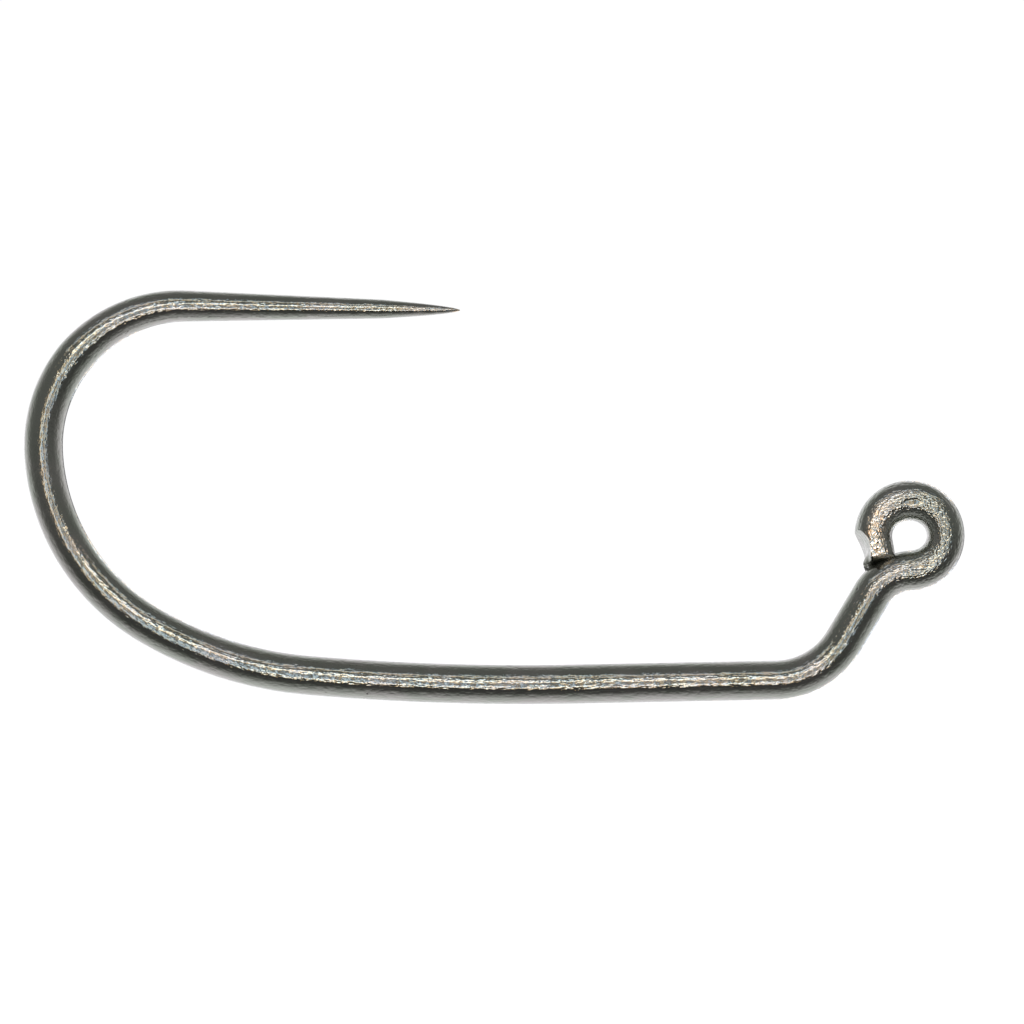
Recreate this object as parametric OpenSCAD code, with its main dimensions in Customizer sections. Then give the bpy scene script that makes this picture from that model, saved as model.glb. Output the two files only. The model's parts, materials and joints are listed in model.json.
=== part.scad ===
// Barbless jig hook: one length of round spring-steel wire, bent in one plane and sharpened at one end.
// The hook lies in the XZ plane with its point upwards. The origin is the centre of the eye, and +X
// runs along the shank towards the eye. Each node is one stretch of the wire, cut square to it.

/* [Wire] */
// Diameter of the wire
wire_d = 0.64; // [0.5:0.01:0.66]

/* [Eye] */
// Radius of the eye, to the middle of the wire
eye_r = 0.585; // [0.56:0.005:0.8]
// Distance from the eye's centre to the leg's axis
eye_offset = 0.04; // [0:0.01:0.1]
// Radius of the turn from the leg into the eye, to the middle of the wire
neck_r = 0.8; // [0.7:0.01:1.1]
// Angle round the eye, from +X, where the wire's straight end begins
end_from = 172; // [168:1:178]
// Lean of the straight end towards the hole, from vertical
end_lean = 11; // [8:1:12]
// Length of the straight end, from where it begins to the low side of the cut
end_len = 0.68; // [0.6:0.01:0.72]
// Diameter of the wire at the low side of the cut
end_d = 0.42; // [0.38:0.01:0.5]
// Slope of the cut across the wire's end
cut_angle = 27; // [0:1:35]

/* [Leg] */
// Angle between the leg and the shank
leg_angle = 58; // [50:1:66]
// Length of the straight part of the leg
leg_len = 0.89; // [0.4:0.01:1.6]
// Radius of the elbow between the leg and the shank, to the middle of the wire
elbow_r = 1.33; // [0.8:0.01:2]

/* [Shank] */
// Length of the straight part of the shank
shank_len = 3.34; // [2:0.01:8]
// Radius of the slight bow behind the shank
back_r = 42; // [30:1:60]
// Angle that the slight bow turns through
back_turn = 6; // [4:1:8]

/* [Bend] */
// Radius where the wire starts to turn up
heel_r = 6.2; // [5:0.1:8]
// Angle that the heel turns through
heel_turn = 26; // [20:1:32]
// Radius of the long part of the bend
bend_r = 3.5; // [3:0.1:4.5]
// Angle that the long part of the bend turns through
bend_turn = 56; // [50:1:62]
// Radius of the front of the bend, the tightest part
front_r = 2.3; // [2:0.05:3]
// Angle that the front of the bend turns through
front_turn = 94; // [88:1:98]

/* [Point] */
// Length of the straight spear, from the front of the bend to the tip
spear_len = 4.54; // [3.5:0.01:5.5]
// Length of the whole taper, from full diameter to the tip
taper_len = 6.6; // [6:0.1:7.4]
// Length of the sharpened point
point_len = 1.3; // [1:0.1:2]
// Diameter of the wire where the sharpened point begins
point_d = 0.31; // [0.26:0.01:0.36]
// Roundness of the point's sides: 1 is a plain cone, and 0.5 is a parabola
point_power = 0.58; // [0.45:0.01:1]

/* [Hidden] */

wire_sides = 72;   // sides that stand for a full circle
throat_sides = 36; // sides of the tapered, bent stretch
throat_rings = 16; // rings along it
point_rings = 14;  // cones that make up the sharpened point
tip_share = 0.002; // where the point's first ring stands, as a share of its length
end_gap = 0.01;    // clearance between the wire's end and the neck
black_nickel = [0.25, 0.25, 0.24];
bare_cut = [0.32, 0.31, 0.3];

// A place on the wire is [x, z, heading]: the heading is in degrees, anticlockwise from +X
function straight(p, len) = [p[0] + len * cos(p[2]), p[1] + len * sin(p[2]), p[2]];
function turn_centre(p, r) = [p[0] + r * sin(p[2]), p[1] - r * cos(p[2])];
function turned(p, r, turn) =
    let (c = turn_centre(p, r), h = p[2] - turn)
    [c[0] - r * sin(h), c[1] + r * cos(h), h];

// The neck leaves the leg, turns clockwise and meets the eye where the eye's own turn begins
neck_turn = acos((neck_r - eye_offset) / (eye_r + neck_r));
neck_reach = (eye_r + neck_r) * sin(neck_turn);
loop_start = leg_angle - neck_turn - 90;
leg_top = [
    -eye_offset * sin(leg_angle) - neck_reach * cos(leg_angle),
    eye_offset * cos(leg_angle) - neck_reach * sin(leg_angle),
    leg_angle
];

// The taper begins part way round the front of the bend
taper_rate = (wire_d - point_d) / (taper_len - point_len);
throat_turn = (taper_len - spear_len) / front_r * 180 / PI;

// Places in order from the leg to the point
leg_start = [leg_top[0], leg_top[1], leg_angle + 180];
elbow_start = straight(leg_start, leg_len);
shank_start = turned(elbow_start, elbow_r, leg_angle);
back_start = straight(shank_start, shank_len);
heel_start = turned(back_start, back_r, back_turn);
bend_start = turned(heel_start, heel_r, heel_turn);
front_start = turned(bend_start, bend_r, bend_turn);
throat_start = turned(front_start, front_r, front_turn - throat_turn);
spear_start = turned(throat_start, front_r, throat_turn);
point_start = straight(spear_start, spear_len - point_len);

// Diameter of the wire at a distance from the tip
function taper_d(s) = min(wire_d, wire_d - (taper_len - s) * taper_rate);
function point_d_at(s) = point_d * pow(s / point_len, point_power);

// Straight stretch of round wire, which may taper from d1 to d2
module rod(p, len, d1 = wire_d, d2 = wire_d) {
    translate([p[0], 0, p[1]])
        rotate([0, 90 - p[2], 0])
            cylinder(h = len, d1 = d1, d2 = d2, $fn = wire_sides);
}

// Round wire bent about a centre, from one angle round it to another
module ring_arc(c, r, from, sweep, d = wire_d) {
    translate([c[0], 0, c[1]])
        rotate([90, 0, 0])
            rotate_extrude(start = from, angle = sweep, $fn = wire_sides * 2)
                translate([r, 0])
                    circle(d = d, $fn = wire_sides);
}

// Stretch of wire that turns clockwise from a place on it
module turn_arc(p, r, turn, d = wire_d) {
    ring_arc(turn_centre(p, r), r, p[2] + 90 - turn, turn, d);
}

// The round part of the eye, from the neck to where the wire's end straightens
module eye_loop() {
    color(black_nickel)
        ring_arc([0, 0], eye_r, loop_start, end_from - loop_start);
}

// The wire's straight end: it thins, is cut at a slope and rests on the neck
module eye_end() {
    thinning = (wire_d - end_d) / end_len;
    spare = wire_d / 4;
    block = wire_d * 3;
    top = straight([eye_r * cos(end_from), eye_r * sin(end_from), 270 + end_lean], -spare);
    foot = straight(top, end_len + spare);
    color(bare_cut)
        difference() {
            rod(top, end_len + spare * 2, wire_d + thinning * spare, end_d - thinning * spare);
            rotate([0, 180 - end_from, 0])
                translate([-block, -block / 2, 0])
                    cube(block);
            translate([foot[0], end_d / 2, foot[1]])
                rotate([-cut_angle, 0, 0])
                    translate([-block / 2, -block / 2, -block])
                        cube(block);
            turn_arc(leg_top, neck_r, neck_turn, wire_d + 2 * end_gap);
        }
}

// Turn from the leg into the eye
module neck() {
    color(black_nickel)
        turn_arc(leg_top, neck_r, neck_turn);
}

// Straight stretch below the eye, where a bead or a moulded head sits
module leg() {
    color(black_nickel)
        rod(leg_start, leg_len);
}

// Bend that tips the eye up from the shank
module elbow() {
    color(black_nickel)
        turn_arc(elbow_start, elbow_r, leg_angle);
}

// Straight stretch that the dressing is tied on
module shank() {
    color(black_nickel)
        rod(shank_start, shank_len);
}

// Slightly bowed stretch behind the shank
module back() {
    color(black_nickel)
        turn_arc(back_start, back_r, back_turn);
}

// Start of the bend
module heel() {
    color(black_nickel)
        turn_arc(heel_start, heel_r, heel_turn);
}

// Long, even part of the bend
module bend() {
    color(black_nickel)
        turn_arc(bend_start, bend_r, bend_turn);
}

// Tight part of the bend that still has the full diameter
module front_bend() {
    color(black_nickel)
        turn_arc(front_start, front_r, front_turn - throat_turn);
}

// Tapered end of the bend, as rings of points joined by faces
module throat() {
    function ring_place(i) = turned(throat_start, front_r, throat_turn * i / throat_rings);
    function ring_r(i) = taper_d(taper_len - (taper_len - spear_len) * i / throat_rings) / 2;
    function ring_point(p, r, a) = [
        p[0] - r * cos(a) * sin(p[2]), r * sin(a), p[1] + r * cos(a) * cos(p[2])
    ];
    points = [
        for (i = [0:throat_rings], j = [0:throat_sides - 1])
            ring_point(ring_place(i), ring_r(i), 360 * j / throat_sides)
    ];
    sides = [
        for (i = [0:throat_rings - 1], j = [0:throat_sides - 1])
            let (a = i * throat_sides, b = a + throat_sides, k = (j + 1) % throat_sides)
            each [[a + j, a + k, b + k], [a + j, b + k, b + j]]
    ];
    first_end = [for (j = [throat_sides - 1:-1:0]) j];
    last_end = [for (j = [0:throat_sides - 1]) throat_rings * throat_sides + j];
    color(black_nickel)
        polyhedron(points, concat(sides, [first_end, last_end]));
}

// Straight, slowly thinning stretch behind the point
module spear() {
    color(black_nickel)
        rod(spear_start, spear_len - point_len, taper_d(spear_len), point_d);
}

// Sharpened needle point
module point() {
    share = [for (i = [0:point_rings]) max(tip_share, pow(i / point_rings, 2))];
    outline = [for (s = share) [point_d_at(s * point_len) / 2, point_len * (1 - s)]];
    color(black_nickel)
        translate([point_start[0], 0, point_start[1]])
            rotate([0, 90 - point_start[2], 0])
                rotate_extrude($fn = wire_sides)
                    polygon(concat([[0, 0]], [for (i = [point_rings:-1:0]) outline[i]], [[0, point_len]]));
}

eye_loop();
eye_end();
neck();
leg();
elbow();
shank();
back();
heel();
bend();
front_bend();
throat();
spear();
point();
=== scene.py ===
import bisect
import json
import math

import bmesh
import bpy
import numpy as np
from mathutils import Matrix, Vector


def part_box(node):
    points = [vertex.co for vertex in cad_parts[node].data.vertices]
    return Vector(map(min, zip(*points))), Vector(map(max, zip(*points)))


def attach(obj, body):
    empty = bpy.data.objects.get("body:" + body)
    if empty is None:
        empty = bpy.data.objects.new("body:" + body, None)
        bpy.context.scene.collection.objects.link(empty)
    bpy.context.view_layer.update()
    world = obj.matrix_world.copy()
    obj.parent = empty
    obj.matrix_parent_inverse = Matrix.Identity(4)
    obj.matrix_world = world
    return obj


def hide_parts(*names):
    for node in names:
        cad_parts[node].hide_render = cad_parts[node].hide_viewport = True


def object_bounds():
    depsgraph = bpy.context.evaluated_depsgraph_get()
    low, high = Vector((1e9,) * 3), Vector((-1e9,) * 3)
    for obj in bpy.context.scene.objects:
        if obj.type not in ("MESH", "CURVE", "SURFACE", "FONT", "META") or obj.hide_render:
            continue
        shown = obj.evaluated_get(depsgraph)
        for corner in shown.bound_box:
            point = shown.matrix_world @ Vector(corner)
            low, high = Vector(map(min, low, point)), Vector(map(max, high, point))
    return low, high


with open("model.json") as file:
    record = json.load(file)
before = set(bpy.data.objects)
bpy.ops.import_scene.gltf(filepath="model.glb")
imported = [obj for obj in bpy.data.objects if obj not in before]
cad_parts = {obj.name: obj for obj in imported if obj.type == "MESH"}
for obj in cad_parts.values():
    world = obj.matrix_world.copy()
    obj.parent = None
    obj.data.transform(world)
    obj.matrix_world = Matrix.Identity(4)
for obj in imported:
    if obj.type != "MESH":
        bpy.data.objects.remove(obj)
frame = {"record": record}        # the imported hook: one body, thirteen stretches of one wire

cadLow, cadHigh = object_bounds()
mm = 0.001
print("frame loaded, box", [round((b - a) / mm, 2) for a, b in zip(cadLow, cadHigh)], "mm")

# the wire is laid out in mm, and each piece is turned into metres when it is finished
eyeMount = next(m for m in frame["record"]["mounts"] if m["name"] == "eye")
eyeCentre = Vector(eyeMount["pos_m"]) / mm

wire = {
    "diameter": 0.64,
    "sides": 128,
    "ringStep": 0.03,     # between rings
    "eyeRadius": 0.585,   # to the middle of the wire
    "eyeOffset": 0.04,    # from the eye's centre to the leg's axis
    "neckRadius": 0.8,
    "legAngle": 58,
    "endFrom": 172,       # angle round the eye where the end begins
    "frontRadius": 2.3,
    "frontTurn": 94,
    "spearLength": 4.54,
    "taperLength": 6.6,   # from full diameter to the tip
    "pointLength": 1.3,
    "pointDiameter": 0.31,
    "pointPower": 0.58,   # 1 is a cone, 0.5 a parabola
}
wireRadius = wire["diameter"] / 2
neckTurn = math.degrees(math.acos(
    (wire["neckRadius"] - wire["eyeOffset"]) / (wire["eyeRadius"] + wire["neckRadius"])))
loopTurn = wire["endFrom"] - (wire["legAngle"] - neckTurn - 90)
throatTurn = math.degrees((wire["taperLength"] - wire["spearLength"]) / wire["frontRadius"])

# a turn above zero is clockwise
eyeLoop = {
    "name": "eyeLoop", "node": "eye_loop", "radius": wire["eyeRadius"], "turn": loopTurn, "ringStep": 0.02,
}
neck = {"name": "neck", "node": "neck", "radius": wire["neckRadius"], "turn": -neckTurn, "ringStep": 0.02}
leg = {"name": "leg", "node": "leg", "length": 0.89}
elbow = {"name": "elbow", "node": "elbow", "radius": 1.33, "turn": wire["legAngle"]}
shank = {"name": "shank", "node": "shank", "length": 3.34}
back = {"name": "back", "node": "back", "radius": 42, "turn": 6}
heel = {"name": "heel", "node": "heel", "radius": 6.2, "turn": 26}
bend = {"name": "bend", "node": "bend", "radius": 3.5, "turn": 56}
frontBend = {
    "name": "frontBend", "node": "front_bend",
    "radius": wire["frontRadius"], "turn": wire["frontTurn"] - throatTurn,
}
throat = {"name": "throat", "node": "throat", "radius": wire["frontRadius"], "turn": throatTurn}
spear = {"name": "spear", "node": "spear", "length": wire["spearLength"] - wire["pointLength"]}
point = {
    "name": "point", "node": "point", "length": wire["pointLength"],
    "rings": 90, "guard": 0.03,   # the guard is one ring before them, for the normals at the seam
}
wireStretches = [eyeLoop, neck, leg, elbow, shank, back, heel, bend, frontBend, throat, spear, point]

# the cut end leaves the eye the other way round
endCurl = {"radius": 0.7, "turn": -15}
endRun = {"length": 0.7}
endStretches = [endCurl, endRun]


def walk(place, curve, distance):
    # place is (x, z, heading); curve is the clockwise turn for each mm
    x, z, heading = place
    if curve == 0:
        return x + distance * math.cos(heading), z + distance * math.sin(heading), heading
    r = 1 / curve
    onward = heading - distance * curve
    x += r * (math.sin(heading) - math.sin(onward))
    z += r * (math.cos(onward) - math.cos(heading))
    return x, z, onward


def layPath(stretches, place):
    reached = 0.0
    for part in stretches:
        part["curve"] = 0.0
        if "radius" in part:
            part["length"] = math.radians(abs(part["turn"])) * part["radius"]
            part["curve"] = math.copysign(1 / part["radius"], part["turn"])
        part["from"], part["place"] = reached, place
        reached += part["length"]
        place = walk(place, part["curve"], part["length"])
    return reached


def stretchAt(stretches, s):
    return stretches[max(0, bisect.bisect_right([part["from"] for part in stretches], s) - 1)]


def placeOn(stretches, s):
    part = stretchAt(stretches, s)
    return walk(part["place"], part["curve"], s - part["from"])


startAngle = math.radians(wire["endFrom"])
startX = eyeCentre.x + wire["eyeRadius"] * math.cos(startAngle)
startZ = eyeCentre.z + wire["eyeRadius"] * math.sin(startAngle)
wireLength = layPath(wireStretches, (startX, startZ, startAngle - math.pi / 2))
endLength = layPath(endStretches, (startX, startZ, startAngle + math.pi / 2))
print("wire is", round(wireLength, 2), "mm from the eye to the tip")


def radiusAt(s):
    left = wireLength - s
    if left <= wire["pointLength"]:
        share = max(left / wire["pointLength"], 1e-6)   # the last ring isn't quite shut
        return wire["pointDiameter"] / 2 * share ** wire["pointPower"]
    if left >= wire["taperLength"]:
        return wireRadius
    share = (left - wire["pointLength"]) / (wire["taperLength"] - wire["pointLength"])
    return (wire["pointDiameter"] * (1 - share) + wire["diameter"] * share) / 2


workedReach = (-0.4, -0.2, 0.0, 0.2, 0.4)   # a bend's grain fades out along the wire


def workedAt(s):
    # how hard the wire was bent about s: 0 where it is straight, 1 in the eye
    curves = [abs(stretchAt(wireStretches, s + offset)["curve"]) for offset in workedReach]
    return min(1.0, sum(curves) / len(workedReach) * wire["eyeRadius"])


def smooth(t):
    t = min(1.0, max(0.0, t))
    return t * t * (3 - 2 * t)


# painted highlight: pale crackled colour laid on the front of the eye's end, nearest the viewer, and on
# the tip
sheenPaint = {
    "endTo": 0.75,       # where it starts along the wire, in mm
    "endFull": -0.05,    # and where it is complete, on the end
    "depth": 0.25,       # only the part of the wire nearest the viewer
    "fade": 0.05,
    "tip": 0.22,         # length of the tip painted pale
}


def sheenPaintAt(s, depth):
    # how far the painted highlight, pale and crackled, is laid on: on the front of the eye's end, and on
    # the tip
    along = smooth((sheenPaint["endTo"] - s) / (sheenPaint["endTo"] - sheenPaint["endFull"]))
    onFront = smooth((depth - sheenPaint["depth"]) / sheenPaint["fade"])
    return max(along * onFront, smooth(1 - (wireLength - s) / sheenPaint["tip"]))


# scale of the wire's inner half, at the sides of the hole and at its top and bottom
eyeHole = {"sides": 0.926, "ends": 1.05, "from": -0.3, "runOut": 0.5}


def holeScale(s):
    # the hole is a little wider than it is tall
    angle = startAngle - min(max(s, eyeHole["from"]), eyeLoop["length"]) / wire["eyeRadius"]
    wide = (1 + math.cos(2 * angle)) / 2
    scale = eyeHole["sides"] * wide + eyeHole["ends"] * (1 - wide)
    return 1 + (scale - 1) * smooth(1 - (s - eyeLoop["length"]) / eyeHole["runOut"])


eyePress = {
    "eye": 2.3,        # power of the front's outline: 2 is round
    "end": 3.4,        # and on the cut end
    "endFull": 0.42,   # from the start of the end
    "runOut": 0.35,
    "lean": 0.13,      # the end's front leans outwards
}


def pressed(s, across):
    # depth of the eye's flattened front: across is 1 on the outer side, -1 in the hole
    power = 2 + (eyePress["eye"] - 2) * smooth(1 - (s - eyeLoop["length"]) / eyePress["runOut"])
    atEnd = smooth(-s / eyePress["endFull"])
    power += (eyePress["end"] - power) * atEnd
    depth = max(0.0, 1 - abs(across) ** power) ** (1 / power)
    return depth * (1 - eyePress["lean"] * atEnd * (1 + across) / 2)


def sectionMatrix(place, radius=1.0):
    # local z runs along the wire, x to its left and y towards the viewer
    x, z, heading = place
    c, s = math.cos(heading), math.sin(heading)
    turned = Matrix(((-s, 0, c, x), (0, -1, 0, eyeCentre.y), (c, 0, s, z), (0, 0, 0, 1)))
    return turned @ Matrix.Diagonal((radius, radius, 1, 1))


def sweep(stretches, stops, radiusOf, sides, way=1):
    # way is -1 where the path runs against the wire's own direction
    bm = bmesh.new()
    wirePlace = bm.verts.layers.float_vector.new("wirePlace")
    worked = bm.verts.layers.float.new("worked")
    # share of the painted highlight at each vertex
    paintedSheen = bm.verts.layers.float.new("paintedSheen")
    bm.verts.layers.float_vector.new("seamNormal")
    before = sectionMatrix(placeOn(stretches, stops[0]), radiusOf(stops[0]))
    bmesh.ops.create_circle(bm, cap_ends=False, segments=sides, radius=1, matrix=before)
    rings, edges = [bm.verts[:]], bm.edges[:]
    for s in stops[1:]:
        now = sectionMatrix(placeOn(stretches, s), radiusOf(s))
        made = bmesh.ops.extrude_edge_only(bm, edges=edges)["geom"]
        ring = [g for g in made if isinstance(g, bmesh.types.BMVert)]
        fresh = set(ring)
        edges = [g for g in made if isinstance(g, bmesh.types.BMEdge) and fresh.issuperset(g.verts)]
        bmesh.ops.transform(bm, matrix=now @ before.inverted(), verts=ring)
        rings.append(ring)
        before = now
    for s, ring in zip(stops, rings):
        section = sectionMatrix(placeOn(stretches, s))
        toSection, bent, squeeze = section.inverted(), workedAt(way * s), holeScale(way * s)
        for v in ring:
            local = toSection @ v.co
            v[wirePlace] = (way * local.x, local.y, way * s)
            v[worked] = bent
            v[paintedSheen] = sheenPaintAt(way * s, local.y)
            if local.y > 0 and way * s < eyeLoop["length"] + eyePress["runOut"]:
                across = max(-1.0, min(1.0, way * local.x / wireRadius))
                local.y = wireRadius * pressed(way * s, across)
                v.co = section @ local
            if way * local.x < 0:
                local.x *= squeeze
                v.co = section @ local
    pressDents(bm)
    bmesh.ops.recalc_face_normals(bm, faces=bm.faces[:])
    bm.normal_update()
    # faces have to look outwards
    probe, middle = rings[len(rings) // 2][0], placeOn(stretches, stops[len(stops) // 2])
    if probe.normal.dot(probe.co - Vector((middle[0], eyeCentre.y, middle[1]))) < 0:
        bmesh.ops.reverse_faces(bm, faces=bm.faces[:])
        bm.normal_update()
    return bm, rings


# marks of the bending tool on the front of the eye: place from its centre, half length and half width
dents = [
    {"x": 0.045, "z": 0.553, "long": 0.19, "wide": 0.08, "depth": 0.017, "tilt": 0},
    {"x": 0.17, "z": -0.512, "long": 0.25, "wide": 0.075, "depth": 0.016, "tilt": 8},
]
dentPolish = 1.5   # how sharply the grain stops at a dent's edge


def pressDents(bm):
    worked = bm.verts.layers.float["worked"]
    for dent in dents:
        c, s = math.cos(math.radians(dent["tilt"])), math.sin(math.radians(dent["tilt"]))
        for v in bm.verts:
            if v.co.y < eyeCentre.y:
                dx, dz = v.co.x - eyeCentre.x - dent["x"], v.co.z - eyeCentre.z - dent["z"]
                reach = ((dx * c + dz * s) / dent["long"]) ** 2 + ((dz * c - dx * s) / dent["wide"]) ** 2
                v.co.y += dent["depth"] * smooth(1 - reach)
                v[worked] *= 1 - smooth((1 - reach) * dentPolish)   # the tool smoothed the wire there


def trimGuards(bm, rings, tip=None):
    # the outermost rings only serve the normals at the seams, which the next piece shares
    seam = bm.verts.layers.float_vector["seamNormal"]
    for v in rings[1] + ([] if tip else rings[-2]):
        v[seam] = v.normal
    bmesh.ops.delete(bm, geom=rings[0] + ([] if tip else rings[-1]), context="VERTS")
    if tip:
        bmesh.ops.pointmerge(bm, verts=rings[-1], merge_co=tip)
    closeRims(bm)


def closeRims(bm):
    rims = [e for e in bm.edges if e.is_boundary]
    for f in bm.faces:
        f.smooth = True
    filled = bmesh.ops.holes_fill(bm, edges=rims, sides=0)["faces"]
    for f in filled:
        f.smooth = False
    for e in rims:
        e.smooth = False
    bmesh.ops.recalc_face_normals(bm, faces=bm.faces[:])
    return filled


def keepSeamNormals(mesh):
    normals = np.zeros((len(mesh.loops), 3), np.float32)
    mesh.corner_normals.foreach_get("vector", normals.ravel())
    seam = np.zeros((len(mesh.vertices), 3), np.float32)
    mesh.attributes["seamNormal"].data.foreach_get("vector", seam.ravel())
    corners = np.zeros(len(mesh.loops), np.int32)
    mesh.loops.foreach_get("vertex_index", corners)
    sizes = np.zeros(len(mesh.polygons), np.int32)
    mesh.polygons.foreach_get("loop_total", sizes)
    onSide = np.repeat(sizes <= 4, sizes)
    use = onSide & (np.linalg.norm(seam[corners], axis=1) > 0.5)   # only the seams have one
    normals[use] = seam[corners][use]
    mesh.normals_split_custom_set(normals.tolist())
    mesh.attributes.remove(mesh.attributes["seamNormal"])


def finishPiece(mesh, name, node, materials):
    for material in materials:
        mesh.materials.append(material)
    keepSeamNormals(mesh)
    piece = bpy.data.objects.new(name, mesh)
    bpy.context.scene.collection.objects.link(piece)
    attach(piece, "root")
    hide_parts(node)
    low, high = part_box(node)
    co = np.zeros((len(mesh.vertices), 3), np.float32)
    mesh.vertices.foreach_get("co", co.ravel())
    off = max(np.abs(co.min(0) - np.array(low)).max(), np.abs(co.max(0) - np.array(high)).max())
    print(name, len(mesh.polygons), "faces, box within", round(off / mm, 3), "mm of its node's")


def meshOf(bm, name):
    bmesh.ops.scale(bm, vec=(mm, mm, mm), verts=bm.verts[:])
    mesh = bpy.data.meshes.new(name)
    bm.to_mesh(mesh)
    bm.free()
    return mesh


def makeStretch(part, material):
    count = max(12, round(part["length"] / part.get("ringStep", wire["ringStep"])))
    step = part["length"] / count
    stops = [part["from"] + step * i for i in range(-1, count + 2)]
    bm, rings = sweep(wireStretches, stops, radiusAt, wire["sides"])
    trimGuards(bm, rings)
    finishPiece(meshOf(bm, part["name"]), part["name"], part["node"], [material])


def makePoint(part, material):
    # rings crowd towards the tip, where the outline curves most
    count = part["rings"]
    stops = [part["from"] - part["guard"]]
    stops += [wireLength - part["length"] * (1 - i / count) ** 2 for i in range(count + 1)]
    bm, rings = sweep(wireStretches, stops, radiusAt, wire["sides"])
    x, z, _ = placeOn(wireStretches, wireLength)
    trimGuards(bm, rings, tip=Vector((x, eyeCentre.y, z)))
    finishPiece(meshOf(bm, part["name"]), part["name"], part["node"], [material])


# the cut end of the eye: places are from the eye's centre
endPiece = {
    "sides": 224,
    "ringStep": 0.01,
    "cutAt": (-0.575, -0.32, -0.318),   # front of the sloping cut
    "cutSlope": 25,                     # the cut falls away from the viewer
    "cutRoll": 7,                       # and rises towards the hole
    "rim": 0.026,                       # worn edge of the cut
    "rimSteps": [(0.25, 0.45), (0.3, 0.35), (0.45, 0.2)],   # shares of it, inwards and outwards
    "creaseAt": (-0.575, 0, -0.46),     # fracture line across the cut
    "creaseNormal": (0.33, -0.5, -0.8),
    "creaseRise": 0.02,
    "burrAt": (-0.765, -0.02, -0.44),
    "burrReach": 0.19,
    "burrRise": (-0.14, 0.0, -0.03),
    "burrBare": 0.1178,                 # the plating is off within this
    "spurAt": (-0.28, -0.2, -0.36),
    "spurReach": 0.09,
    "spurRise": (0.03, -0.035, -0.02),
    "gap": 0.006,                       # between the end and the neck
    "seatBefore": 0.2,                  # the neck that it is fitted to, and a little beyond
    "seatStep": 0.03,
    "sharpFrom": 32,                    # degrees
}

# pinched flat on the outer side of the end: height, its front edge, and its turn towards the viewer
pinch = [
    (0.120, -0.900, 24), (0.087, -0.812, 22), (0.018, -0.735, 20), (-0.053, -0.684, 18),
    (-0.129, -0.670, 14.5), (-0.218, -0.661, 11), (-0.307, -0.656, 8.5), (-0.400, -0.654, 7),
    (-0.600, -0.654, 7),
]


def pinchFlat(bm, middleAt):
    heights = [eyeCentre.z + row[0] for row in reversed(pinch)]
    edges = [eyeCentre.x + row[1] for row in reversed(pinch)]
    turns = [row[2] for row in reversed(pinch)]
    for v in bm.verts:
        if not heights[0] < v.co.z < heights[-1]:
            continue
        edge = np.interp(v.co.z, heights, edges)
        turn = math.radians(np.interp(v.co.z, heights, turns))
        across = edge - middleAt(v.co.z)
        front = Vector((edge, -math.sqrt(max(0.0, wireRadius ** 2 - across ** 2)), v.co.z))
        normal = Vector((-math.cos(turn), -math.sin(turn), 0))
        v.co -= normal * max(0.0, normal.dot(v.co - front))


def raiseLump(bm, at, rise, reach):
    at, rise = eyeCentre + Vector(at), Vector(rise)
    for v in bm.verts:
        v.co += rise * smooth(1 - (v.co - at).length / reach)


def shapeEnd(settings):
    count = round(endLength / settings["ringStep"])
    step = endLength / count
    stops = [step * i for i in range(-1, count + 1)]
    bm, rings = sweep(endStretches, stops, lambda s: wireRadius, settings["sides"], way=-1)
    seam = bm.verts.layers.float_vector["seamNormal"]
    for v in rings[1]:
        v[seam] = v.normal
    bmesh.ops.delete(bm, geom=rings[0], context="VERTS")
    centres = sorted((placeOn(endStretches, s)[1], placeOn(endStretches, s)[0]) for s in stops)
    pinchFlat(bm, lambda z: np.interp(z, [c[0] for c in centres], [c[1] for c in centres]))
    raiseLump(bm, settings["burrAt"], settings["burrRise"], settings["burrReach"])
    raiseLump(bm, settings["spurAt"], settings["spurRise"], settings["spurReach"])
    burr = eyeCentre + Vector(settings["burrAt"]) + Vector(settings["burrRise"]) / 2
    for face in bm.faces:
        if (face.calc_center_median() - burr).length < settings["burrBare"]:
            face.material_index = 1
    return bm


def shearEnd(bm, settings):
    slope, roll = math.radians(settings["cutSlope"]), math.radians(settings["cutRoll"])
    cutNormal = Vector((math.sin(roll), -math.sin(slope), -math.cos(slope))).normalized()
    cutAt = eyeCentre + Vector(settings["cutAt"]) - cutNormal * settings["rim"]
    geom = bm.verts[:] + bm.edges[:] + bm.faces[:]
    bmesh.ops.bisect_plane(bm, geom=geom, plane_co=cutAt, plane_no=cutNormal, clear_outer=True)
    face = max(closeRims(bm), key=lambda f: f.normal.dot(cutNormal))   # the other one is the seam
    face.material_index = 1
    for inwards, outwards in settings["rimSteps"]:
        bmesh.ops.inset_region(
            bm, faces=[face], thickness=settings["rim"] * inwards, depth=settings["rim"] * outwards)
    around = face.verts[:] + face.edges[:] + [face]
    crease = bmesh.ops.bisect_plane(
        bm, geom=around, plane_co=eyeCentre + Vector(settings["creaseAt"]),
        plane_no=settings["creaseNormal"])["geom_cut"]
    for v in {v for e in crease if isinstance(e, bmesh.types.BMEdge) for v in e.verts}:
        v.co += cutNormal * settings["creaseRise"]


def looseObject(bm, name, materials):
    mesh = bpy.data.meshes.new(name)
    bm.to_mesh(mesh)
    bm.free()
    for material in materials:
        mesh.materials.append(material)
    made = bpy.data.objects.new(name, mesh)
    bpy.context.scene.collection.objects.link(made)
    return made


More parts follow.
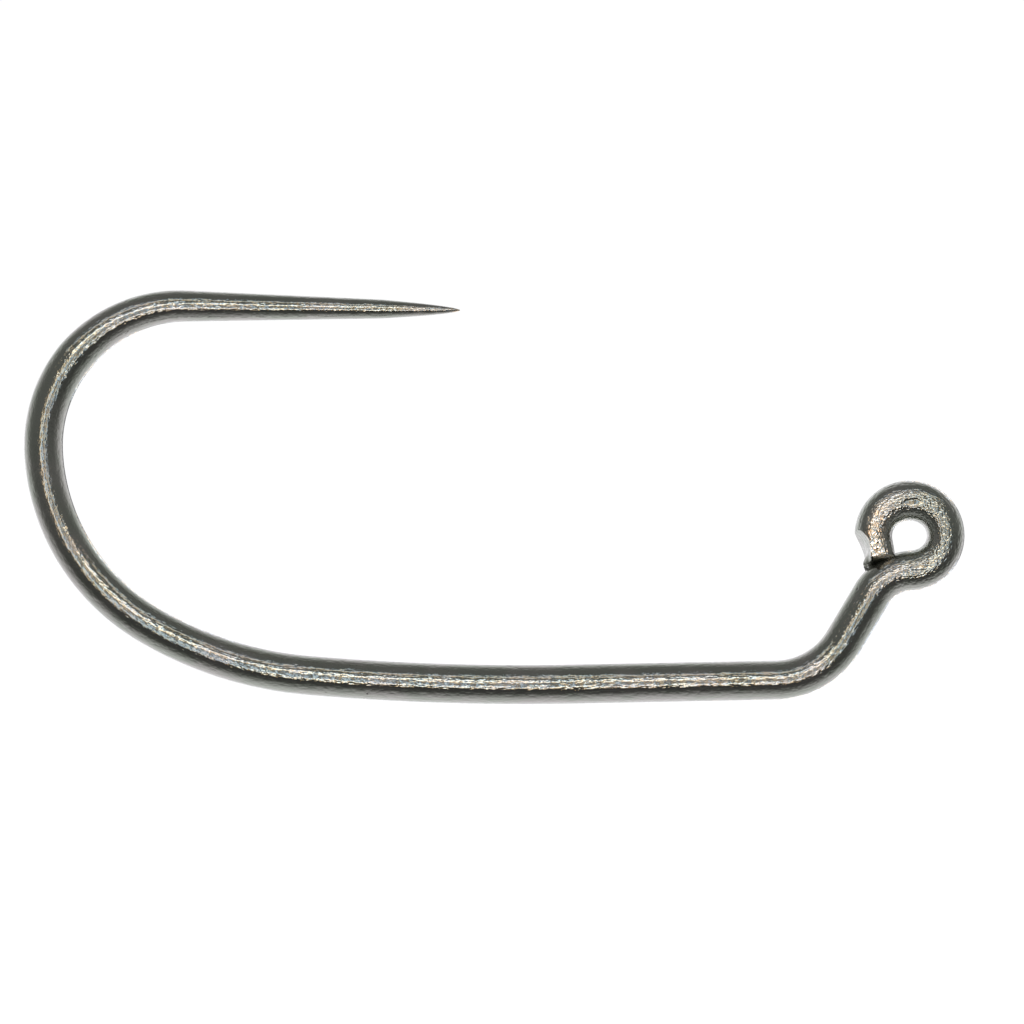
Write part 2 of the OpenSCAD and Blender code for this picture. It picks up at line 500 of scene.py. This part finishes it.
def restOnNeck(end, settings, materials):
    # takes the neck's own shape, and a gap, out of the end
    count = int((neck["length"] + 2 * settings["seatBefore"]) / settings["seatStep"])
    stops = [neck["from"] - settings["seatBefore"] + settings["seatStep"] * i for i in range(count)]
    bm, rings = sweep(wireStretches, stops, lambda s: wireRadius + settings["gap"], wire["sides"])
    closeRims(bm)
    for f in bm.faces:
        f.material_index = 1
    seat = looseObject(bm, "neckSeat", materials)
    cut = end.modifiers.new("restOnNeck", "BOOLEAN")
    cut.operation, cut.solver, cut.object = "DIFFERENCE", "MANIFOLD", seat
    bpy.context.view_layer.update()
    mesh = bpy.data.meshes.new_from_object(end.evaluated_get(bpy.context.evaluated_depsgraph_get()))
    for o in (end, seat):
        bpy.data.objects.remove(o)
    return mesh


def makeEyeEnd(settings, material, cutMaterial):
    materials = [material, cutMaterial]
    bm = shapeEnd(settings)
    shearEnd(bm, settings)
    mesh = restOnNeck(looseObject(bm, "roughEnd", materials), settings, materials)
    mesh.name = "eyeEnd"
    mesh.transform(Matrix.Scale(mm, 4))
    mesh.set_sharp_from_angle(angle=math.radians(settings["sharpFrom"]))
    mesh.materials.clear()
    finishPiece(mesh, "eyeEnd", "eye_end", materials)


def newGroup(name, inputs, outputs):
    group = bpy.data.node_groups.new(name, "ShaderNodeTree")
    for socket, kind, value in inputs:
        made = group.interface.new_socket(socket, in_out="INPUT", socket_type=kind)
        if value is not None:
            made.default_value = value
    for socket, kind in outputs:
        group.interface.new_socket(socket, in_out="OUTPUT", socket_type=kind)
    return group, group.nodes.new("NodeGroupInput"), group.nodes.new("NodeGroupOutput")


def addNode(tree, kind, settings=None, **inputs):
    # an input is a socket's name, or i and its number; a value is a number or another node's socket
    node = tree.nodes.new(kind)
    for key, value in (settings or {}).items():
        setattr(node, key, value)
    for key, value in inputs.items():
        socket = node.inputs[int(key[1:])] if key[0] == "i" and key[1:].isdigit() else node.inputs[key]
        if isinstance(value, bpy.types.NodeSocket):
            tree.links.new(value, socket)
        else:
            socket.default_value = value
    return node


def mathNode(tree, operation, a, b):
    return addNode(tree, "ShaderNodeMath", {"operation": operation}, i0=a, i1=b).outputs[0]


def multiplyAdd(tree, a, b, c):
    return addNode(tree, "ShaderNodeMath", {"operation": "MULTIPLY_ADD"}, i0=a, i1=b, i2=c).outputs[0]


def smoothRange(tree, value, low, high, toLow=0.0, toHigh=1.0):
    return addNode(tree, "ShaderNodeMapRange", {"interpolation_type": "SMOOTHSTEP"}, **{
        "Value": value, "From Min": low, "From Max": high, "To Min": toLow, "To Max": toHigh}).outputs[0]


def blend(tree, factor, a, b, kind="FLOAT"):
    first = {"FLOAT": 2, "RGBA": 6}[kind]
    values = {"i0": factor, f"i{first}": a, f"i{first + 1}": b}
    node = addNode(tree, "ShaderNodeMix", {"data_type": kind}, **values)
    return node.outputs[{"FLOAT": 0, "RGBA": 2}[kind]]


# cells in each mm, and how far each pattern is drawn out along the wire
grain = {
    "drawn": {"scale": 16, "along": 0.5, "share": 1.0},     # cells on straight wire
    "peel": {"scale": 19, "along": 0.85, "share": 1.9},     # cells where the wire was bent
    "domeShape": 2.0,
    "specks": {"scale": 29, "along": 0.7, "share": 0.75, "turn": (0.6, 0.5, 0.4)},
    "lines": {"scale": 30, "along": 0.04, "share": 0.2},
    "patches": {"scale": 1.9, "along": 0.6, "rough": 0.6, "low": 0.38, "high": 0.64},
    "pits": {"scale": 4.2, "size": 0.11, "floor": 0.03, "keep": 0.86, "depth": 1.6},
    "sheenBreakup": {"scale": 13, "along": 0.8, "sheenGap": 0.16},   # cells of the painted highlight, and the lines of plain colour between them
}


def makeWireGrain():
    # place is across, depth and along in mm; the height is in cells, and the other outputs are masks
    group, start, end = newGroup("wireGrain", [
        ("Place", "NodeSocketVector", None), ("Worked", "NodeSocketFloat", 0.0),
    ], [(name, "NodeSocketFloat") for name in ("Height", "Patches", "Pits", "SheenFlakes", "SheenGaps")])
    place, worked = start.outputs["Place"], start.outputs["Worked"]

    def stretched(kind):
        scale, turn = (1, 1, grain[kind]["along"]), grain[kind].get("turn", (0, 0, 0))
        return addNode(group, "ShaderNodeMapping", Vector=place, Scale=scale, Rotation=turn).outputs[0]

    domes = []
    for kind in ("drawn", "peel"):
        cells = addNode(group, "ShaderNodeTexVoronoi", Vector=stretched(kind), Scale=grain[kind]["scale"])
        dome = mathNode(group, "POWER", cells.outputs["Distance"], grain["domeShape"])
        domes.append(mathNode(group, "MULTIPLY", dome, grain[kind]["share"]))
    height = mathNode(group, "MULTIPLY", blend(group, worked, domes[0], domes[1]), -1.0)
    for kind in ("lines", "specks"):
        noise = addNode(group, "ShaderNodeTexNoise", Vector=stretched(kind),
                        Scale=grain[kind]["scale"], Detail=1.0)
        height = multiplyAdd(group, noise.outputs["Fac"], grain[kind]["share"], height)

    stain = grain["patches"]
    patches = addNode(group, "ShaderNodeTexNoise", Vector=stretched("patches"),
                      Scale=stain["scale"], Detail=3.0, Roughness=stain["rough"])
    patches = smoothRange(group, patches.outputs["Fac"], stain["low"], stain["high"])

    pit = grain["pits"]
    spots = addNode(group, "ShaderNodeTexVoronoi", Vector=place, Scale=pit["scale"])
    chance = addNode(group, "ShaderNodeSeparateColor", Color=spots.outputs["Color"]).outputs["Red"]
    inSpot = smoothRange(group, spots.outputs["Distance"], pit["size"], pit["floor"])
    pits = mathNode(group, "MULTIPLY", inSpot, mathNode(group, "GREATER_THAN", chance, pit["keep"]))
    height = multiplyAdd(group, pits, -pit["depth"], height)

    # the painted highlight's cells, and the lines between them
    sheenBreakup = stretched("sheenBreakup")
    sheenFlakes = addNode(group, "ShaderNodeTexVoronoi", Vector=sheenBreakup, Scale=grain["sheenBreakup"]["scale"])
    sheenFlakes = addNode(group, "ShaderNodeSeparateColor", Color=sheenFlakes.outputs["Color"]).outputs["Green"]
    edges = addNode(group, "ShaderNodeTexVoronoi", {"feature": "DISTANCE_TO_EDGE"}, Vector=sheenBreakup,
                    Scale=grain["sheenBreakup"]["scale"])
    sheenGaps = smoothRange(group, edges.outputs["Distance"], grain["sheenBreakup"]["sheenGap"], 0.0)

    made = {"Height": height, "Patches": patches, "Pits": pits, "SheenFlakes": sheenFlakes, "SheenGaps": sheenGaps}
    for name, value in made.items():
        group.links.new(value, end.inputs[name])
    return group


wireGrain = makeWireGrain()


def makeFinish(name, settings):
    material = bpy.data.materials.new(name)
    material.use_nodes = True
    tree = material.node_tree
    shader = tree.nodes["Principled BSDF"]
    shader.inputs["Metallic"].default_value = settings["metallic"]
    place = addNode(tree, "ShaderNodeAttribute", {"attribute_name": "wirePlace"}).outputs["Vector"]
    worked, paintedSheen = (addNode(tree, "ShaderNodeAttribute", {"attribute_name": kind}).outputs["Fac"]
                    for kind in ("worked", "paintedSheen"))
    masks = addNode(tree, "ShaderNodeGroup", {"node_tree": wireGrain}, Place=place, Worked=worked).outputs
    stained = blend(tree, masks["Patches"], settings["color"], settings["stain"], "RGBA")
    # painted highlight: pale cells, parted by lines of the plain colour, where the sheen mask is
    deepSheen, paleSheen = settings.get("sheenFlakes", (settings["color"], settings["stain"]))
    sheenColor = blend(tree, masks["SheenFlakes"], deepSheen, paleSheen, "RGBA")
    sheenColor = blend(tree, masks["SheenGaps"], sheenColor, stained, "RGBA")
    color = blend(tree, paintedSheen, stained, sheenColor, "RGBA")
    color = blend(tree, masks["Pits"], color, settings["pit"], "RGBA")
    tree.links.new(color, shader.inputs["Base Color"])
    rough = addNode(tree, "ShaderNodeMapRange", **{
        "Value": masks["Patches"], "To Min": settings["roughness"][0], "To Max": settings["roughness"][1]})
    tree.links.new(rough.outputs[0], shader.inputs["Roughness"])
    deep = settings["height"] * mm
    bump = addNode(tree, "ShaderNodeBump", Height=masks["Height"], Strength=1.0, Distance=deep)
    tree.links.new(bump.outputs[0], shader.inputs["Normal"])
    return material


# dark nickel plate: its colour clean, stained and in a pit, and the range of its painted highlight's cells
blackNickel = makeFinish("blackNickel", {
    "color": (0.285, 0.303, 0.262, 1),
    "stain": (0.33, 0.328, 0.3, 1),
    "pit": (0.06, 0.055, 0.05, 1),
    "sheenFlakes": [(0.7, 0.54, 0.37, 1), (0.93, 0.93, 0.85, 1)],
    "metallic": 1.0,
    "roughness": (0.13, 0.18),
    "height": 0.0038,
})
# torn steel, dull and a little brown
shearedCut = makeFinish("shearedCut", {
    "color": (0.72, 0.62, 0.57, 1),
    "stain": (0.82, 0.76, 0.73, 1),
    "pit": (0.08, 0.07, 0.06, 1),
    "metallic": 0.1,
    "roughness": (0.4, 0.55),
    "height": 0.012,
})

for part in wireStretches[:-1]:
    makeStretch(part, blackNickel)
makePoint(point, blackNickel)
makeEyeEnd(endPiece, blackNickel, shearedCut)
print("wire made")

hookCentre = (cadLow + cadHigh) / 2
studio = {
    "white": 1.02,
    "floorDrop": 6.5,      # below the hook, in mm
    "floorSize": 2.0,      # in m
    "panelDistance": 0.5,  # in m
    "sky": 0.7,            # lights the floor only
    "skyFrom": (0.2, -0.45, 1),
    "skySpread": 20,
    "rearShade": 0.22,     # what is straight behind the hook is darker
    "rearMiddle": (0.208, 0.978, 0),
    "rearEdge": (25, 15),  # degrees from its middle, where the shade begins and is full
    "backdropAngle": 155,  # from the lens to the backdrop's middle, round below the hook
    "fill": 0.14,          # the upper half is this much brighter
    "fillSpan": (-0.6, 0.2),
    "cool": 0.04,          # bright parts of the backdrop are a little blue
    "coolGreen": 0.4,
    "coolFrom": 0.3,
    "coolOver": 0.5,
}
# the lights stand round the lens like a frame: degrees up and to the right, seen from the hook
panels = [
    {"name": "panelAbove", "up": (14, 22), "across": (-19, 22), "radiance": 5.4, "bands": "up"},
    {"name": "panelBelow", "up": (-19.5, -13), "across": (-8, 13), "radiance": 6.5, "bands": "up",
     "roll": 12},
    {"name": "panelLeft", "up": (-11, 9), "across": (-18, -3), "radiance": 2.1, "bands": "across"},
    {"name": "panelRight", "up": (-11, 10), "across": (4, 18), "radiance": 1.3, "bands": "across"},
    {"name": "rearAbove", "up": (14, 21), "across": (152, 176), "radiance": 3.5, "bands": "up"},
    {"name": "rearBelow", "up": (-20, -13), "across": (152, 176), "radiance": 3.5, "bands": "up"},
    {"name": "panelHigh", "up": (40, 51), "across": (-40, 40), "radiance": 1.7, "bands": "up"},
]
# each panel is three bands of light, warm to cool
bandColors = [(1.0, 0.68, 0.4), (1.0, 0.96, 0.92), (0.55, 0.72, 1.0)]
# what the metal sees: brightness against the cosine of the angle from the backdrop's middle
surroundings = [
    (-0.5, 0.1), (-0.309, 0.13), (-0.2, 0.16), (-0.087, 0.25), (0.017, 0.385), (0.156, 0.59),
    (0.225, 0.68), (0.407, 0.97), (0.656, 1.26), (0.89, 1.4),
]


def makeWorld():
    world = bpy.data.worlds.new("studio")
    world.use_nodes = True
    bpy.context.scene.world = world
    tree = world.node_tree
    background = tree.nodes["Background"]
    background.inputs["Strength"].default_value = 1.0
    direction = addNode(tree, "ShaderNodeTexCoord").outputs["Generated"]

    def facing(middle):
        dot = addNode(tree, "ShaderNodeVectorMath", {"operation": "DOT_PRODUCT"}, i0=direction, i1=middle)
        return dot.outputs["Value"]

    backdrop = math.radians(studio["backdropAngle"])
    towards = facing((0, -math.cos(backdrop), -math.sin(backdrop)))
    ramp = addNode(tree, "ShaderNodeValToRGB", Fac=multiplyAdd(tree, towards, 0.5, 0.5))
    stops = ramp.color_ramp.elements
    while len(stops) < len(surroundings):
        stops.new(0.5)
    for stop, (cosine, level) in zip(stops, surroundings):
        stop.position = (cosine + 1) / 2
        cool = smooth((level - studio["coolFrom"]) / studio["coolOver"]) * studio["cool"]
        stop.color = (level, level * (1 - cool * studio["coolGreen"]), level * (1 + cool), 1)
    height = addNode(tree, "ShaderNodeSeparateXYZ", Vector=direction).outputs["Z"]
    fill = smoothRange(tree, height, *studio["fillSpan"], 0.0, studio["fill"])
    seen = addNode(tree, "ShaderNodeVectorMath", {"operation": "ADD"}, i0=ramp.outputs[0], i1=fill)
    seen = seen.outputs[0]
    begins, full = (math.cos(math.radians(edge)) for edge in studio["rearEdge"])
    shade = smoothRange(tree, facing(studio["rearMiddle"]), begins, full, 1.0, studio["rearShade"])
    seen = addNode(tree, "ShaderNodeVectorMath", {"operation": "SCALE"}, i0=seen, Scale=shade).outputs[0]
    reflected = addNode(tree, "ShaderNodeLightPath").outputs["Is Glossy Ray"]
    white = (studio["white"], studio["white"], studio["white"], 1)
    tree.links.new(blend(tree, reflected, white, seen, "RGBA"), background.inputs["Color"])


def makeFloor():
    bm = bmesh.new()
    bmesh.ops.create_grid(bm, x_segments=8, y_segments=8, size=studio["floorSize"] / 2)
    bmesh.ops.translate(bm, vec=(hookCentre.x, 0, cadLow.z - studio["floorDrop"] * mm), verts=bm.verts[:])
    mesh = bpy.data.meshes.new("floor")
    bm.to_mesh(mesh)
    bm.free()
    material = bpy.data.materials.new("paleFloor")
    material.use_nodes = True
    shader = material.node_tree.nodes["Principled BSDF"]
    shader.inputs["Base Color"].default_value = (0.9, 0.9, 0.9, 1)
    shader.inputs["Roughness"].default_value = 0.9
    mesh.materials.append(material)
    floor = bpy.data.objects.new("floor", mesh)
    bpy.context.scene.collection.objects.link(floor)
    floor.visible_glossy = False


def makePanel(settings):
    reach = studio["panelDistance"]
    spans = {"up": settings["up"], "across": settings["across"]}
    low, high = spans[settings["bands"]]
    share = (high - low) / len(bandColors)
    for k, color in enumerate(bandColors):
        spans[settings["bands"]] = (low + share * k, low + share * (k + 1))
        (down, up), (left, right) = spans["up"], spans["across"]
        aside, above = math.radians((left + right) / 2), math.radians((up + down) / 2)
        level = math.cos(above)
        way = Vector((math.sin(aside) * level, -math.cos(aside) * level, math.sin(above)))
        data = bpy.data.lights.new(settings["name"], "AREA")
        data.shape = "RECTANGLE"
        data.size = 2 * reach * math.tan(math.radians(right - left) / 2)
        data.size_y = 2 * reach * math.tan(math.radians(up - down) / 2)
        data.energy = settings["radiance"] * math.pi * data.size * data.size_y
        data.color = color
        band = bpy.data.objects.new(settings["name"], data)
        band.location = hookCentre + way * reach
        roll = Matrix.Rotation(math.radians(settings.get("roll", 0)), 3, way)
        band.rotation_euler = (roll @ way.to_track_quat("Z", "Y").to_matrix()).to_euler()
        band.visible_camera = False
        band.visible_diffuse = False
        bpy.context.scene.collection.objects.link(band)


def makeSky():
    data = bpy.data.lights.new("sky", "SUN")
    data.energy, data.angle = studio["sky"], math.radians(studio["skySpread"])
    sky = bpy.data.objects.new("sky", data)
    sky.rotation_euler = Vector(studio["skyFrom"]).to_track_quat("Z", "Y").to_euler()
    sky.visible_glossy = False
    bpy.context.scene.collection.objects.link(sky)


view = {
    "lens": 200,               # lens and sensor in mm
    "sensor": 36,
    "width": 16.896,           # of the frame at the hook, in mm
    "aside": (0.287, -0.293),  # frame's centre from the hook's, in mm
    "roll": 1.126,             # degrees
}


def makeCamera():
    data = bpy.data.cameras.new("camera")
    data.lens, data.sensor_width = view["lens"], view["sensor"]
    distance = view["width"] * mm * data.lens / data.sensor_width
    data.clip_start, data.clip_end = distance / 10, distance * 100   # both far from the hook
    camera = bpy.data.objects.new("camera", data)
    c, s = math.cos(math.radians(view["roll"])), math.sin(math.radians(view["roll"]))
    x = hookCentre.x + view["aside"][0] * mm
    y = hookCentre.y - distance
    z = hookCentre.z + view["aside"][1] * mm
    camera.matrix_world = Matrix(((c, s, 0, x), (0, 0, -1, y), (-s, c, 0, z), (0, 0, 0, 1)))
    bpy.context.scene.collection.objects.link(camera)
    bpy.context.scene.camera = camera


makeWorld()
makeFloor()
for settings in panels:
    makePanel(settings)
makeSky()
makeCamera()
bpy.context.scene.view_settings.view_transform = "Standard"
print("studio set")
